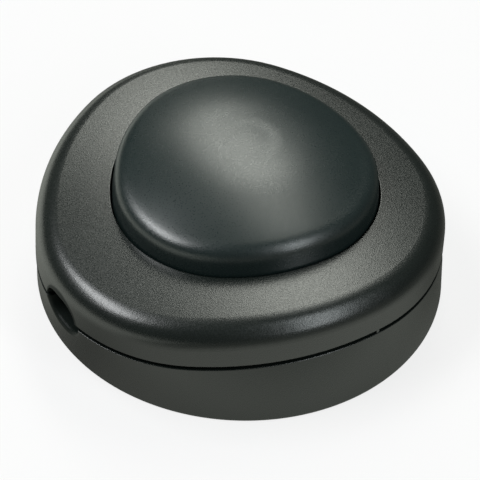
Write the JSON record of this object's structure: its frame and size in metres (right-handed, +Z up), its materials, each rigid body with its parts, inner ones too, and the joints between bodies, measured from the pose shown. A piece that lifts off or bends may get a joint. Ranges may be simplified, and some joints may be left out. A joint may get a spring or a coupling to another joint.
{
  "type": "foot switch",
  "caption": "Black in-line foot switch for a lamp cord: rounded three-lobed housing in two shells, large crowned push button on top, cord inlet in each side.",
  "frame": {"origin": "centre of the round underside, below the button's axis", "axes": "+Z up along the button's axis, X along the cord, +Y towards the lobe furthest from the cord"},
  "size_m": [0.0661, 0.0662, 0.0269],
  "materials": {
    "housing_plastic": "black, fine spark-eroded grain, satin",
    "button_plastic": "black, smoother satin",
    "inner_plastic": "natural white moulding",
    "clamp_plastic": "black moulding",
    "plated_steel": "zinc plated",
    "spring_steel": "drawn wire",
    "contact_brass": "turned and stamped",
    "spring_bronze": "rolled strip",
    "contact_silver": "silver face"
  },
  "bodies": {
    "housing": {"base": "housing_plastic", "cover": "housing_plastic", "bridge_plate": "inner_plastic", "bridge_screws": "plated_steel", "clamp_screws": "plated_steel", "housing_screws": "plated_steel", "terminal_screws": "plated_steel", "rotor_axle": "plated_steel", "return_spring": "spring_steel", "front_blade": "spring_bronze", "rear_blade": "spring_bronze", "front_contact": "contact_silver", "rear_contact": "contact_silver", "front_terminal": "contact_brass", "rear_terminal": "contact_brass", "neutral_connector": "contact_brass", "left_cord_clamp": "clamp_plastic", "right_cord_clamp": "clamp_plastic"},
    "button": {"push_button": "button_plastic", "plunger": "inner_plastic", "plunger_screw": "plated_steel"},
    "rotor": {"ratchet_rotor": "inner_plastic", "contact_band": "contact_brass"}
  },
  "joints": [
    {"name": "button_press", "type": "slide", "parent": "housing", "child": "button", "axis": [0, 0, -1], "range_m": [0, 0.004], "stiffness_N_per_m": 2000, "springref_m": -0.002, "deforming": ["return_spring"]},
    {"name": "rotor_turn", "type": "hinge", "parent": "housing", "child": "rotor", "pos_m": [0, 0, 0.008], "axis": [-1, 0, 0], "range_deg": [0, 90]}
  ],
  "couplings": [
    {"joint": "rotor_turn", "follows": "button_press", "rad_per_m": 196.3}
  ]
}
